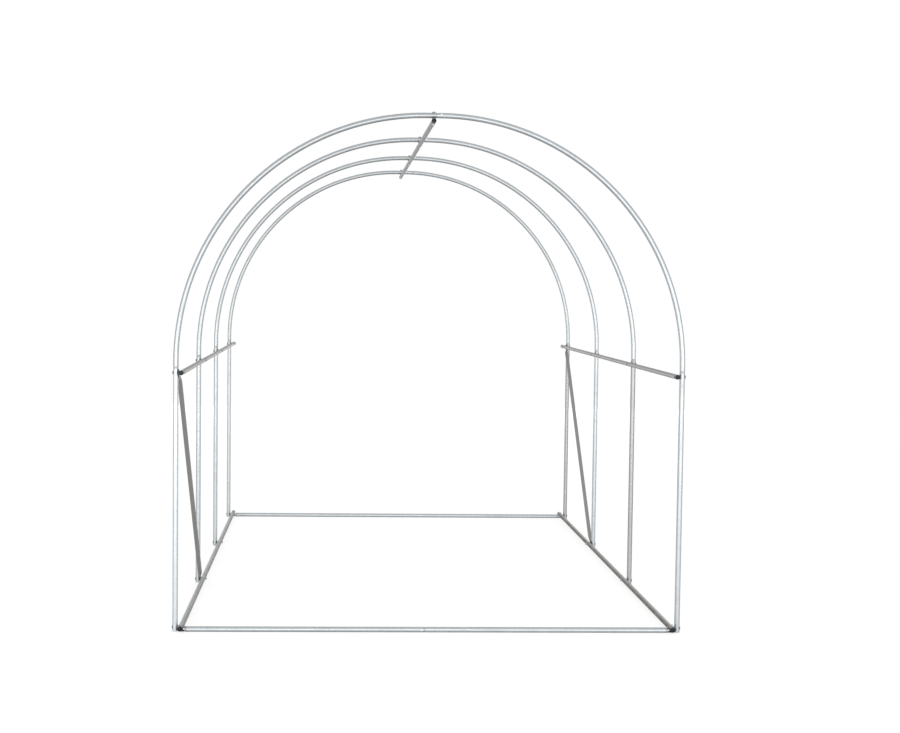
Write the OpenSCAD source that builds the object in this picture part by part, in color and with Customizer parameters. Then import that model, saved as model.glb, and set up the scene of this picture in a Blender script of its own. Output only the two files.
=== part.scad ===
// Walk-in polytunnel greenhouse: the bare frame of round steel tube.
// Four round-topped hoops stand along +Y, tied by three purlins and two base rails.
// +Z is up, and the origin lies on the ground at the middle of the frame.

/* [Tunnel] */
// Length of the base rails, front end to back end
tunnel_l = 3000; // [2000:10:4500]
// Width over the outside of the hoops
tunnel_w = 2000; // [1400:10:3000]
// Height of a leg tube, from the ground to its open top
leg_h = 1030; // [600:5:1500]

/* [Hoops] */
// Diameter of the hoop tube
hoop_d = 21; // [16:0.5:32]
// Wall of the hoop tube
hoop_wall = 1; // [0.8:0.1:2]
// Straight length of each half arch between its bend and the middle of the hoop
crown_tail = 27.5; // [24:0.5:120]
// Straight length between a leg's top and the start of the bend
arch_tail = 25; // [12:1:120]
// How far the crown seam lies to the right of the ridge purlin
crown_seam = 12; // [8:1:20]
// Length of the reduced end that slides into the other half arch
crown_spigot = 32; // [20:1:36]
// Length of the reduced end that slides into a leg
leg_spigot = 40; // [30:1:50]

/* [Purlins and rails] */
// Diameter of the ridge and side purlins
purlin_d = 19; // [16:0.5:30]
// Wall of the purlin tube
purlin_wall = 1; // [0.8:0.1:2]
// Diameter of the base rails
rail_d = 21; // [16:0.5:30]
// Wall of the base rails
rail_wall = 1; // [0.8:0.1:2]
// Diameter of the cross rails at the two ends
cross_d = 21; // [16:0.5:30]
// Wall of the cross rails
cross_wall = 1; // [0.8:0.1:2]
// Length of the purlins in front of the first hoop
purlin_front = 20; // [18:1:60]
// Length of the purlins and rails behind the last hoop
rail_back = 80; // [40:1:200]
// Length of the base rails in front of the first hoop
rail_front = 34; // [32:1:80]
// Distance from a hoop back to the seam in a purlin or base rail
rail_seam = 50; // [20:1:120]
// Length of the reduced end that slides into the next length of rail
rail_spigot = 70; // [60:1:140]
// How far the side purlins lie below the tops of the legs
purlin_drop = 17; // [12:1:24]
// How far the seam in a cross rail lies to the left of the middle
cross_seam = 12; // [0:1:60]
// Length of the reduced end that slides into the other half cross rail
cross_spigot = 60; // [30:1:120]
// Room between a cross rail's flat end and the leg beside it
cross_room = 2; // [1:0.5:6]

/* [Braces] */
// Diameter of the diagonal braces
brace_d = 19; // [16:0.5:24]
// Wall of the braces
brace_wall = 1; // [0.8:0.1:2]

/* [Flattened ends] */
// Width of a flattened tube end
tab_w = 28; // [24:1:30]
// Thickness of a flattened tube end
tab_t = 2; // [1.6:0.1:4]
// Length of a brace's flat from the middle of its bolt hole
brace_flat = 18; // [12:1:30]
// Length over which a brace turns from round to flat
brace_crimp = 32; // [20:1:50]
// Length of a cross rail's flat from the middle of its bolt hole
cross_flat = 14; // [12:1:30]
// Length over which a cross rail turns from round to flat
cross_crimp = 12; // [8:1:40]

/* [Fasteners and caps] */
// Diameter of the bolts
bolt_d = 6; // [5:0.5:8]
// Diameter of a bolt's round head
head_d = 14; // [10:0.5:16]
// Diameter of the small outer end of a bolt's head
head_top_d = 9; // [5:0.5:10]
// Height of the round heads on the hoops
head_h = 5; // [3:0.5:6]
// Height of the low heads at and under the base rails
low_head_h = 3; // [2:0.5:4]
// Width of a nut across its flats
nut_w = 10; // [8:0.5:13]
// Height of a nut
nut_h = 5; // [4:0.5:7]
// Length of bolt that shows past its nut
bolt_past = 2; // [1:0.5:5]
// Diameter of the spacers between the hoops and the rails
spacer_d = 16; // [13:0.5:20]
// Thickness of an end cap's flange
cap_t = 3; // [2:0.5:6]
// Width of the bevel round an end cap's face
cap_bevel = 1; // [0.5:0.5:3]
// Length of an end cap's plug inside the tube
cap_plug = 12; // [8:1:14]

/* [Fits] */
// Length of the cone between a full tube and its reduced end
cone_l = 8; // [4:1:12]
// Room all round a reduced end or a plug inside its tube
slide_fit = 0.1; // [0.05:0.05:0.3]
// Room all round a bolt in its drilled hole
bolt_fit = 0.25; // [0.1:0.05:0.5]
// Room all round a bolt in its nut
thread_fit = 0.05; // [0.02:0.01:0.1]
// Room left between tubes that lie against each other
touch = 0.2; // [0.1:0.05:0.5]
// Room between the ground and the low heads under the base rails
ground_gap = 0.3; // [0.1:0.1:1]

/* [Hidden] */
hoops = 4;
leg_x = (tunnel_w - hoop_d) / 2;
spring_z = leg_h + arch_tail;
bend_r = leg_x - crown_tail;
crown_z = spring_z + bend_r;

front_y = -tunnel_l / 2;
back_y = tunnel_l / 2;
hoop_1_y = front_y + rail_front;
hoop_step = (back_y - rail_back - hoop_1_y) / (hoops - 1);
function hoop_y(i) = hoop_1_y + i * hoop_step;
purlin_y = hoop_1_y - purlin_front;
seam_y = [hoop_y(1) + rail_seam, hoop_y(2) + rail_seam];

// The low head, the flat end and the base rail lie on each other, from the ground up
tab_z = ground_gap + low_head_h + tab_t / 2;
rail_z = tab_z + tab_t / 2 + touch + rail_d / 2;
// A brace's flat end, or a spacer as thick, lies between each hoop and its rail
rail_room = tab_t + 2 * touch;
rail_x = leg_x - hoop_d / 2 - rail_room - rail_d / 2;
purlin_x = leg_x - hoop_d / 2 - rail_room - purlin_d / 2;
purlin_z = leg_h - purlin_drop;
ridge_z = crown_z - hoop_d / 2 - rail_room - purlin_d / 2;
// The flat end's round tip passes the leg with cross_room, and its bolt passes the leg's bolt
tip_to_leg = hoop_d / 2 + tab_w / 2 + cross_room;
rail_to_leg = leg_x - rail_x;
tip_offset = sqrt(max(0, tip_to_leg * tip_to_leg - rail_to_leg * rail_to_leg));
cross_offset = max(tip_offset, 2 * bolt_d);
cross_y = [hoop_y(0) - cross_offset, hoop_y(hoops - 1) + cross_offset];
cross_z = cross_d / 2;
tab_drop = cross_z - tab_z;

brace_x = leg_x - hoop_d / 2 - touch - tab_t / 2;
brace_run = hoop_step;
brace_rise = purlin_z - rail_z;
brace_l = sqrt(brace_run * brace_run + brace_rise * brace_rise);

steel = [0.74, 0.77, 0.79];
shade_steel = [0.55, 0.57, 0.58];
zinc = [0.80, 0.81, 0.82];
black = [0.05, 0.05, 0.05];
round_fn = 48;
bend_fn = 240;
crimp_fn = 32;
cut = 1;
slice = 0.1;
// Steel left at the sides and the end of a crimp's hollow, in thicknesses of the wall
pinch_side = 2;
pinch_end = 3;

// ---- tube shapes, each along +Z from the origin ----

module ring(d, wall) {
    difference() {
        circle(d = d, $fn = round_fn);
        circle(d = d - 2 * wall, $fn = round_fn);
    }
}

module tube(d, wall, length) {
    linear_extrude(height = length) ring(d, wall);
}

// A tube whose lower end is reduced, so that it slides into a like tube below z = 0
module swaged_tube(d, wall, length, spigot) {
    r = d / 2;
    thin = r - wall - slide_fit;
    rotate_extrude($fn = round_fn) polygon([
        [thin - wall, -spigot], [thin, -spigot], [thin, 0], [r, cone_l],
        [r, length], [r - wall, length], [r - wall, cone_l], [thin - wall, 0]
    ]);
}

// The stretch from a round tube to a flat that lies off its centreline by drop, thin along X
module crimp_shell(d, w, t, length, drop) {
    hull() {
        cylinder(d = d, h = slice, $fn = crimp_fn);
        translate([drop - t / 2, -w / 2, length - slice]) cube([t, w, slice]);
    }
}

// A flattened end: the bolt hole is at the origin, and the tube runs up +Z from it
module flat_end(d, wall, flat, crimp, drop = 0) {
    hollow_w = tab_w - 2 * pinch_side * wall;
    difference() {
        union() {
            rotate([0, 90, 0]) cylinder(d = tab_w, h = tab_t, center = true, $fn = round_fn);
            translate([-tab_t / 2, -tab_w / 2, 0]) cube([tab_t, tab_w, flat]);
            translate([-drop, 0, flat + crimp]) mirror([0, 0, 1])
                crimp_shell(d, tab_w, tab_t, crimp, drop);
        }
        translate([-drop, 0, flat + crimp + slice]) mirror([0, 0, 1])
            crimp_shell(d - 2 * wall, hollow_w, slice, crimp - pinch_end * wall, drop);
        rotate([0, 90, 0]) bolt_hole(tab_t);
    }
}

// ---- fasteners, with the axis along Z ----

module bolt_hole(length) {
    cylinder(d = bolt_d + 2 * bolt_fit, h = length + 2 * cut, center = true, $fn = round_fn);
}

// The head lies below z = 0 and the shank passes up through grip and nut
module bolt(grip, head) {
    translate([0, 0, -head]) cylinder(d1 = head_top_d, d2 = head_d, h = head, $fn = round_fn);
    cylinder(d = bolt_d, h = grip + nut_h + bolt_past, $fn = round_fn);
}

module nut() {
    difference() {
        cylinder(d = nut_w / cos(30), h = nut_h, $fn = 6);
        translate([0, 0, -cut]) cylinder(d = bolt_d + 2 * thread_fit, h = nut_h + 2 * cut, $fn = round_fn);
    }
}

// ---- hoops ----

module leg(side, i) {
    color(steel) translate([side * leg_x, hoop_y(i), 0]) difference() {
        tube(hoop_d, hoop_wall, leg_h);
        for (z = [rail_z, purlin_z]) translate([0, 0, z]) rotate([0, 90, 0]) bolt_hole(hoop_d);
    }
}

// The bend and the reduced lower end of the left half arch, at y = 0
module arch_side() {
    difference() {
        translate([-leg_x, 0, leg_h]) swaged_tube(hoop_d, hoop_wall, arch_tail, leg_spigot);
        translate([-leg_x, 0, purlin_z]) rotate([0, 90, 0]) bolt_hole(hoop_d);
    }
    translate([-crown_tail, 0, spring_z]) rotate([90, 0, 0]) rotate([0, 0, 90])
        rotate_extrude(angle = 90, $fn = bend_fn) translate([bend_r, 0]) ring(hoop_d, hoop_wall);
}

module left_arch(i) {
    color(steel) translate([0, hoop_y(i), 0]) {
        arch_side();
        difference() {
            translate([-crown_tail, 0, crown_z]) rotate([0, 90, 0])
                tube(hoop_d, hoop_wall, crown_tail + crown_seam);
            translate([0, 0, crown_z]) bolt_hole(hoop_d);
        }
    }
}

module right_arch(i) {
    color(steel) translate([0, hoop_y(i), 0]) {
        mirror([1, 0, 0]) arch_side();
        difference() {
            translate([crown_seam, 0, crown_z]) rotate([0, 90, 0])
                swaged_tube(hoop_d, hoop_wall, crown_tail - crown_seam, crown_spigot);
            translate([0, 0, crown_z]) bolt_hole(hoop_d);
        }
    }
}

// ---- lengths of rail that run along Y ----

// One of the three lengths: part 0 starts plain at start_y, and 1 and 2 start in the one before
module rail_length(d, wall, part, start_y) {
    y0 = part == 0 ? start_y : seam_y[part - 1];
    y1 = part == 2 ? back_y : seam_y[part];
    translate([0, y0, 0]) rotate([-90, 0, 0])
        if (part == 0) tube(d, wall, y1 - y0);
        else swaged_tube(d, wall, y1 - y0, rail_spigot);
}

module ridge_purlin(part) {
    color(shade_steel) translate([0, 0, ridge_z]) difference() {
        rail_length(purlin_d, purlin_wall, part, purlin_y);
        for (i = [0 : hoops - 1]) translate([0, hoop_y(i), 0]) bolt_hole(purlin_d);
    }
}

module side_purlin(side, part) {
    color(shade_steel) translate([side * purlin_x, 0, purlin_z]) difference() {
        rail_length(purlin_d, purlin_wall, part, purlin_y);
        for (i = [0 : hoops - 1]) translate([0, hoop_y(i), 0]) rotate([0, 90, 0]) bolt_hole(purlin_d);
    }
}

module base_rail(side, part) {
    color(shade_steel) translate([side * rail_x, 0, rail_z]) difference() {
        rail_length(rail_d, rail_wall, part, front_y);
        for (i = [0 : hoops - 1]) translate([0, hoop_y(i), 0]) rotate([0, 90, 0]) bolt_hole(rail_d);
        for (y = cross_y) translate([0, y, 0]) bolt_hole(rail_d);
    }
}

// ---- cross rails, flattened under the base rails ----

// The left half at y = 0, with its bolt hole at the left base rail
module cross_half(seam_x, reduced) {
    start_x = -rail_x + cross_flat + cross_crimp;
    translate([-rail_x, 0, tab_z]) rotate([0, 90, 0])
        flat_end(cross_d, cross_wall, cross_flat, cross_crimp, tab_drop);
    if (reduced)
        translate([seam_x, 0, cross_z]) rotate([0, -90, 0])
            swaged_tube(cross_d, cross_wall, seam_x - start_x, cross_spigot);
    else
        translate([start_x, 0, cross_z]) rotate([0, 90, 0]) tube(cross_d, cross_wall, seam_x - start_x);
}

module cross_rail_left(end) {
    color(steel) translate([0, cross_y[end], 0]) cross_half(-cross_seam, false);
}

module cross_rail_right(end) {
    color(steel) translate([0, cross_y[end], 0]) mirror([1, 0, 0]) cross_half(cross_seam, true);
}

// ---- braces ----

// A brace along +Z from its top bolt hole, thin along X at both ends
module brace_tube() {
    end_l = brace_flat + brace_crimp;
    flat_end(brace_d, brace_wall, brace_flat, brace_crimp);
    translate([0, 0, brace_l]) mirror([0, 0, 1]) flat_end(brace_d, brace_wall, brace_flat, brace_crimp);
    translate([0, 0, end_l]) tube(brace_d, brace_wall, brace_l - 2 * end_l);
}

// It falls from the purlin bolt of hoop i to the base bolt of the hoop that lies dir along Y
module brace(side, i, dir) {
    color(shade_steel) translate([side * brace_x, hoop_y(i), purlin_z])
        rotate([atan2(-dir * brace_run, -brace_rise), 0, 0]) brace_tube();
}

// ---- end caps ----

module end_cap(d, wall) {
    translate([0, 0, -cap_t]) cylinder(d1 = d - 2 * cap_bevel, d2 = d, h = cap_t, $fn = round_fn);
    cylinder(d = d - 2 * wall - 2 * slide_fit, h = cap_plug, $fn = round_fn);
}

// Both ends of a rail that runs along Y
module cap_pair(x, z, y0, d, wall) {
    translate([x, y0, z]) rotate([-90, 0, 0]) end_cap(d, wall);
    translate([x, back_y, z]) rotate([90, 0, 0]) end_cap(d, wall);
}

module end_caps() {
    color(black) {
        cap_pair(0, ridge_z, purlin_y, purlin_d, purlin_wall);
        for (side = [-1, 1]) {
            cap_pair(side * purlin_x, purlin_z, purlin_y, purlin_d, purlin_wall);
            cap_pair(side * rail_x, rail_z, front_y, rail_d, rail_wall);
        }
    }
}

// ---- where the bolts go ----

// Places its children with +Z pointing inwards from the outer face of a leg
module on_leg(side, i, z) {
    translate([side * (leg_x + hoop_d / 2), hoop_y(i), z]) rotate([0, -side * 90, 0]) children();
}

module on_crown(i) {
    translate([0, hoop_y(i), crown_z + hoop_d / 2]) rotate([180, 0, 0]) children();
}

module under_corner(side, end) {
    translate([side * rail_x, cross_y[end], tab_z - tab_t / 2]) children();
}

purlin_grip = hoop_d + rail_room + purlin_d;
base_grip = hoop_d + rail_room + rail_d;
corner_grip = tab_t + touch + rail_d;

module purlin_bolts() {
    color(zinc) for (i = [0 : hoops - 1]) {
        on_crown(i) bolt(purlin_grip, head_h);
        for (side = [-1, 1]) on_leg(side, i, purlin_z) bolt(purlin_grip, head_h);
    }
}

module purlin_nuts() {
    color(zinc) for (i = [0 : hoops - 1]) {
        on_crown(i) translate([0, 0, purlin_grip]) nut();
        for (side = [-1, 1]) on_leg(side, i, purlin_z) translate([0, 0, purlin_grip]) nut();
    }
}

module base_bolts() {
    color(zinc) for (side = [-1, 1]) {
        for (i = [0 : hoops - 1]) on_leg(side, i, rail_z) bolt(base_grip, low_head_h);
        for (end = [0, 1]) under_corner(side, end) bolt(corner_grip, low_head_h);
    }
}

module base_nuts() {
    color(zinc) for (side = [-1, 1]) {
        for (i = [0 : hoops - 1]) on_leg(side, i, rail_z) translate([0, 0, base_grip]) nut();
        for (end = [0, 1]) under_corner(side, end) translate([0, 0, corner_grip]) nut();
    }
}

module spacer() {
    translate([0, 0, hoop_d + touch]) difference() {
        cylinder(d = spacer_d, h = tab_t, $fn = round_fn);
        translate([0, 0, tab_t / 2]) bolt_hole(tab_t);
    }
}

// On every bolt between hoop and rail that holds no brace
module spacers() {
    color(zinc) for (i = [0 : hoops - 1]) {
        on_crown(i) spacer();
        if (i != 0) on_leg(-1, i, purlin_z) spacer();
        if (i != 1) on_leg(-1, i, rail_z) spacer();
        if (i != hoops - 1) on_leg(1, i, purlin_z) spacer();
        if (i != hoops - 2) on_leg(1, i, rail_z) spacer();
    }
}

leg(-1, 0);  // left_leg_1
leg(-1, 1);  // left_leg_2
leg(-1, 2);  // left_leg_3
leg(-1, 3);  // left_leg_4
leg(1, 0);  // right_leg_1
leg(1, 1);  // right_leg_2
leg(1, 2);  // right_leg_3
leg(1, 3);  // right_leg_4
left_arch(0);  // left_arch_1
left_arch(1);  // left_arch_2
left_arch(2);  // left_arch_3
left_arch(3);  // left_arch_4
right_arch(0);  // right_arch_1
right_arch(1);  // right_arch_2
right_arch(2);  // right_arch_3
right_arch(3);  // right_arch_4
ridge_purlin(0);  // ridge_purlin_front
ridge_purlin(1);  // ridge_purlin_middle
ridge_purlin(2);  // ridge_purlin_back
side_purlin(-1, 0);  // left_purlin_front
side_purlin(-1, 1);  // left_purlin_middle
side_purlin(-1, 2);  // left_purlin_back
side_purlin(1, 0);  // right_purlin_front
side_purlin(1, 1);  // right_purlin_middle
side_purlin(1, 2);  // right_purlin_back
base_rail(-1, 0);  // left_base_rail_front
base_rail(-1, 1);  // left_base_rail_middle
base_rail(-1, 2);  // left_base_rail_back
base_rail(1, 0);  // right_base_rail_front
base_rail(1, 1);  // right_base_rail_middle
base_rail(1, 2);  // right_base_rail_back
cross_rail_left(0);  // front_cross_rail_left
cross_rail_right(0);  // front_cross_rail_right
cross_rail_left(1);  // back_cross_rail_left
cross_rail_right(1);  // back_cross_rail_right
brace(-1, 0, 1);  // left_brace
brace(1, hoops - 1, -1);  // right_brace
end_caps();
purlin_bolts();
purlin_nuts();
base_bolts();
base_nuts();
spacers();
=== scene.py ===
# Bare frame of a walk-in polytunnel greenhouse in galvanised steel tube
import math

import bmesh
import bpy
from mathutils import Matrix, Vector


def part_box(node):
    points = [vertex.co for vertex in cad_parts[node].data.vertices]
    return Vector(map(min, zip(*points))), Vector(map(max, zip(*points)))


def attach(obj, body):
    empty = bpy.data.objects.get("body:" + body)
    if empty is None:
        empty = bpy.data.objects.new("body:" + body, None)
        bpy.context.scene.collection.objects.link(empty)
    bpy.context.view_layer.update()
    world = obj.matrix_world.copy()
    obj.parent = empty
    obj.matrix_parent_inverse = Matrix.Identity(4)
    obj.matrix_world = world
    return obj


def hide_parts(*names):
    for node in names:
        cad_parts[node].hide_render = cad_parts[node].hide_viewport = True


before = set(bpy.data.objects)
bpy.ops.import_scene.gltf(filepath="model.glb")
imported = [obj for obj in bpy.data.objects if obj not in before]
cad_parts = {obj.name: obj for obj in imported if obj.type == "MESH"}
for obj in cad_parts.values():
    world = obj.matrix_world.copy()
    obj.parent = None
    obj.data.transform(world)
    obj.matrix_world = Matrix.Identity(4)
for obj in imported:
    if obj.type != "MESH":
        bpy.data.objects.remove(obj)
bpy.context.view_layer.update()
print("frame loaded:", len(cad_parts), "nodes")


class Wire:
    # a node output in a tree, which adds, multiplies and compares like a number
    def __init__(self, tree, socket):
        self.tree, self.socket = tree, socket

    def calc(self, operation, *others, clamp=False):
        node = self.tree.nodes.new("ShaderNodeMath")
        node.operation, node.use_clamp = operation, clamp
        for slot, value in zip(node.inputs, (self,) + others):
            feed(self.tree, slot, value)
        return Wire(self.tree, node.outputs[0])

    def __add__(self, other):
        return self.calc("ADD", other)

    def __sub__(self, other):
        return self.calc("SUBTRACT", other)

    def __mul__(self, other):
        return self.calc("MULTIPLY", other)

    def __truediv__(self, other):
        return self.calc("DIVIDE", other)

    def __neg__(self):
        return self.calc("MULTIPLY", -1.0)

    def least(self, other):
        return self.calc("MINIMUM", other)

    def most(self, other):
        return self.calc("MAXIMUM", other)


def feed(tree, slot, value):
    if isinstance(value, Wire):
        tree.links.new(value.socket, slot)
    elif isinstance(value, bpy.types.NodeSocket):
        tree.links.new(value, slot)
    else:
        slot.default_value = value


def feedAll(tree, node, inputs):
    for key, value in inputs.items():
        feed(tree, node.inputs[key], value)


def put(tree, kind, inputs=None, out=0, **settings):
    node = tree.nodes.new(kind)
    for key, value in settings.items():
        setattr(node, key, value)
    feedAll(tree, node, inputs or {})
    return Wire(tree, node.outputs[out]) if node.outputs else node


def ramp(tree, value, low, high, start=0.0, stop=1.0, soft=False):
    # goes from start to stop while the value goes from low to high
    inputs = {0: value, 1: low, 2: high, 3: start, 4: stop}
    style = "SMOOTHSTEP" if soft else "LINEAR"
    return put(tree, "ShaderNodeMapRange", inputs, interpolation_type=style)


def noise(tree, vector, scale, detail, roughness=0.5):
    return put(tree, "ShaderNodeTexNoise", {
        "Vector": vector, "Scale": scale, "Detail": detail, "Roughness": roughness})


def xyz(tree, x, y, z):
    return put(tree, "ShaderNodeCombineXYZ", {0: x, 1: y, 2: z})


def parts(tree, vector):
    split = put(tree, "ShaderNodeSeparateXYZ", {0: vector}).socket.node
    return [Wire(tree, split.outputs[i]) for i in range(3)]


def newTree(name, inputs, masks=None):
    # a shader group when it gives masks, or else a geometry tree that gives one shape
    tree = bpy.data.node_groups.new(name, "ShaderNodeTree" if masks else "GeometryNodeTree")
    for label, socketType, value in inputs:
        socket = tree.interface.new_socket(label, in_out="INPUT", socket_type="NodeSocket" + socketType)
        if value is not None:
            socket.default_value = value
    given = "NodeSocketFloat" if masks else "NodeSocketGeometry"
    for label in masks or ["Geometry"]:
        tree.interface.new_socket(label, in_out="OUTPUT", socket_type=given)
    entry = tree.nodes.new("NodeGroupInput")
    return tree, {label: Wire(tree, entry.outputs[label]) for label, _, _ in inputs}


def endTree(tree, results):
    feedAll(tree, tree.nodes.new("NodeGroupOutput"), results)
    return tree


# what every tube tree asks for, in metres
tubeInputs = [
    ("Diameter", "Float", 0.021), ("Wall", "Float", 0.001), ("Length", "Float", 1.0),
    ("Start spigot", "Float", 0.0), ("End spigot", "Float", 0.0), ("Cone", "Float", 0.008),
    ("Facets", "Int", 40), ("Rings", "Int", 8), ("Pattern start", "Float", 0.0)]
weldGap = 0.000002  # points nearer than this become one
spigotFit = 0.0001  # gap round a reduced end inside the next tube


def makeTubeBody():
    # turns the closed wall section of a tube about +Z, with a reduced end below or above if asked
    tree, g = newTree("tubeBody", tubeInputs + [
        ("Fit", "Float", spigotFit), ("Rim", "Float", 0.0003), ("Rim cuts", "Int", 5)])
    length, wall, rim, cone, few = g["Length"], g["Wall"], g["Rim"], g["Cone"], g["Rim cuts"]
    low, high = -g["Start spigot"], length + g["End spigot"]
    hasLow = g["Start spigot"].calc("GREATER_THAN", 0.0)
    hasHigh = g["End spigot"].calc("GREATER_THAN", 0.0)
    coneLow, coneHigh = (cone * hasLow).most(low + rim), (length - cone * hasHigh).least(high - rim)
    outline = [  # depth under the outer skin, place along the tube, cuts before the next point
        (wall, low, 0), (rim, low, 0), (0.0, low + rim, 0), (0.0, (low + rim).most(0.0), few),
        (0.0, coneLow, g["Rings"]), (0.0, coneHigh, few), (0.0, length.least(high - rim), 0),
        (0.0, high - rim, 0), (rim, high, 0), (wall, high, 0), (wall, length.least(high), few),
        (wall, coneHigh.least(high), g["Rings"]), (wall, coneLow.most(low), few), (wall, low.most(0.0), 0)]
    index = put(tree, "GeometryNodeInputIndex")
    spots = put(tree, "GeometryNodeIndexSwitch", data_type="VECTOR").socket.node
    cuts = put(tree, "GeometryNodeIndexSwitch", data_type="INT").socket.node
    for node in (spots, cuts):
        while len(node.index_switch_items) < len(outline):
            node.index_switch_items.new()
        feed(tree, node.inputs["Index"], index)
    for i, (depth, along, cut) in enumerate(outline):
        feed(tree, spots.inputs[i + 1], xyz(tree, depth, along, 0.0))
        feed(tree, cuts.inputs[i + 1], cut)
    line = put(tree, "GeometryNodeMeshLine", {"Count": len(outline)})
    line = put(tree, "GeometryNodeSetPosition", {"Geometry": line, "Position": spots.outputs[0]})
    line = put(tree, "GeometryNodeMeshToCurve", {0: line})
    line = put(tree, "GeometryNodeSetSplineCyclic", {"Geometry": line, "Cyclic": True})
    line = put(tree, "GeometryNodeSubdivideCurve", {"Curve": line, "Cuts": cuts.outputs[0]})

    depth, along, _ = parts(tree, put(tree, "GeometryNodeInputPosition"))
    lowShare = ramp(tree, along, 0.0, cone, 1.0, 0.0, soft=True)
    highShare = ramp(tree, along, length - cone, length, soft=True)
    thinner = (wall + g["Fit"]) * (lowShare * hasLow + highShare * hasHigh)
    axisGap = 0.0001  # the path's own radius, taken off the section again
    radius = g["Diameter"] * 0.5 - thinner - depth - axisGap
    line = put(tree, "GeometryNodeSetPosition", {
        "Geometry": line, "Position": xyz(tree, radius, -along, 0.0)})

    path = put(tree, "GeometryNodeCurvePrimitiveCircle", {"Resolution": g["Facets"], "Radius": axisGap})
    path = put(tree, "GeometryNodeSetCurveNormal", {"Curve": path}, mode="Z_UP")
    tube = put(tree, "GeometryNodeCurveToMesh", {"Curve": path, "Profile Curve": line})
    tube = put(tree, "GeometryNodeMergeByDistance", {"Geometry": tube, "Distance": weldGap})
    x, y, z = parts(tree, put(tree, "GeometryNodeInputPosition"))
    tube = put(tree, "GeometryNodeStoreNamedAttribute", {
        "Geometry": tube, "Name": "tubeMap", "Value": xyz(tree, x, y, z + g["Pattern start"])},
        data_type="FLOAT_VECTOR", domain="POINT")
    tube = put(tree, "GeometryNodeStoreNamedAttribute", {
        "Geometry": tube, "Name": "endGap", "Value": (z - low).least(high - z)},
        data_type="FLOAT", domain="POINT")
    return endTree(tree, {"Geometry": tube})


tubeBody = makeTubeBody()


def putTubeBody(tree, g):
    return put(tree, "GeometryNodeGroup", {label: g[label] for label, _, _ in tubeInputs}, node_tree=tubeBody)


def finishTube(tree, tube, steel):
    tube = put(tree, "GeometryNodeRealizeInstances", {0: tube})
    tube = put(tree, "GeometryNodeSetMaterial", {"Geometry": tube, "Material": steel})
    return endTree(tree, {"Geometry": tube})


def makeStraightTube():
    tree, g = newTree("straightTube", tubeInputs + [
        ("Start", "Vector", None), ("Turn", "Vector", None), ("Steel", "Material", None)])
    tube = putTubeBody(tree, g)
    tube = put(tree, "GeometryNodeTransform", {
        "Geometry": tube, "Translation": g["Start"], "Rotation": g["Turn"]})
    return finishTube(tree, tube, g["Steel"])


def makeArchTube():
    # bends the tube over a quarter circle between two straight tails
    tree, g = newTree("archTube", tubeInputs + [
        ("Side", "Float", 1.0), ("Hoop Y", "Float", 0.0), ("Bend radius", "Float", 0.962),
        ("Lower tail", "Float", 0.025), ("Upper tail", "Float", 0.0275), ("Spring height", "Float", 1.055),
        ("Steel", "Material", None)])
    tube = putTubeBody(tree, g)
    outward, across, along = parts(tree, put(tree, "GeometryNodeInputPosition"))
    radius, past = g["Bend radius"], along - g["Lower tail"]
    quarter = radius * (math.pi / 2)
    angle = (past / radius).most(0.0).least(math.pi / 2)
    below, above = past.least(0.0), (past - quarter).most(0.0)
    reach = radius + outward
    x = (g["Upper tail"] + reach * angle.calc("COSINE") - above) * g["Side"]
    z = g["Spring height"] + reach * angle.calc("SINE") + below
    tube = put(tree, "GeometryNodeSetPosition", {
        "Geometry": tube, "Position": xyz(tree, x, across + g["Hoop Y"], z)})
    return finishTube(tree, tube, g["Steel"])


def makeFastenerTree():
    # sets one shape on every point, along the point's axis and turned at random about it
    tree, g = newTree("fasteners", [
        ("Points", "Geometry", None), ("Shape", "Object", None), ("Seed", "Int", 1),
        ("Finish", "Material", None)])
    shape = put(tree, "GeometryNodeObjectInfo", {"Object": g["Shape"]}, out="Geometry")
    axis = put(tree, "GeometryNodeInputNamedAttribute", {"Name": "axis"}, data_type="FLOAT_VECTOR")
    turn = put(tree, "FunctionNodeAlignRotationToVector", {"Vector": axis}, axis="Z")
    angle = put(tree, "FunctionNodeRandomValue", {2: 0.0, 3: math.tau, "Seed": g["Seed"]}, out=1,
                data_type="FLOAT")
    spin = put(tree, "FunctionNodeAxisAngleToRotation", {"Axis": (0, 0, 1), "Angle": angle})
    turn = put(tree, "FunctionNodeRotateRotation", {"Rotation": turn, "Rotate By": spin},
               rotation_space="LOCAL")
    made = put(tree, "GeometryNodeInstanceOnPoints", {
        "Points": g["Points"], "Instance": shape, "Rotation": turn})
    made = put(tree, "GeometryNodeRealizeInstances", {0: made})
    made = put(tree, "GeometryNodeSetMaterial", {"Geometry": made, "Material": g["Finish"]})
    return endTree(tree, {"Geometry": made})


straightTube, archTube, fastenerTree = makeStraightTube(), makeArchTube(), makeFastenerTree()
print("geometry node trees built")

# degrees between two faces, past which the edge shows
sharpEdge = {"tube": 35, "turned": 30, "nut": 25, "pressed": 40}


def tidyMesh(mesh, kind="tube"):
    work = bmesh.new()
    work.from_mesh(mesh)
    bmesh.ops.remove_doubles(work, verts=work.verts, dist=weldGap)
    bmesh.ops.recalc_face_normals(work, faces=work.faces)
    for face in work.faces:
        face.smooth = True
    work.to_mesh(mesh)
    work.free()
    mesh.set_sharp_from_angle(angle=math.radians(sharpEdge[kind]))
    mesh.validate()
    return mesh


def newObject(name, data):
    made = bpy.data.objects.new(name, data)
    bpy.context.scene.collection.objects.link(made)
    return made


def addPiece(name, mesh, nodes):
    mesh.name = name
    piece = newObject(name, mesh)
    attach(piece, "root")
    if nodes:
        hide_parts(*nodes)


def evaluatedMesh(shape):
    return bpy.data.meshes.new_from_object(shape.evaluated_get(bpy.context.evaluated_depsgraph_get()))


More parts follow.
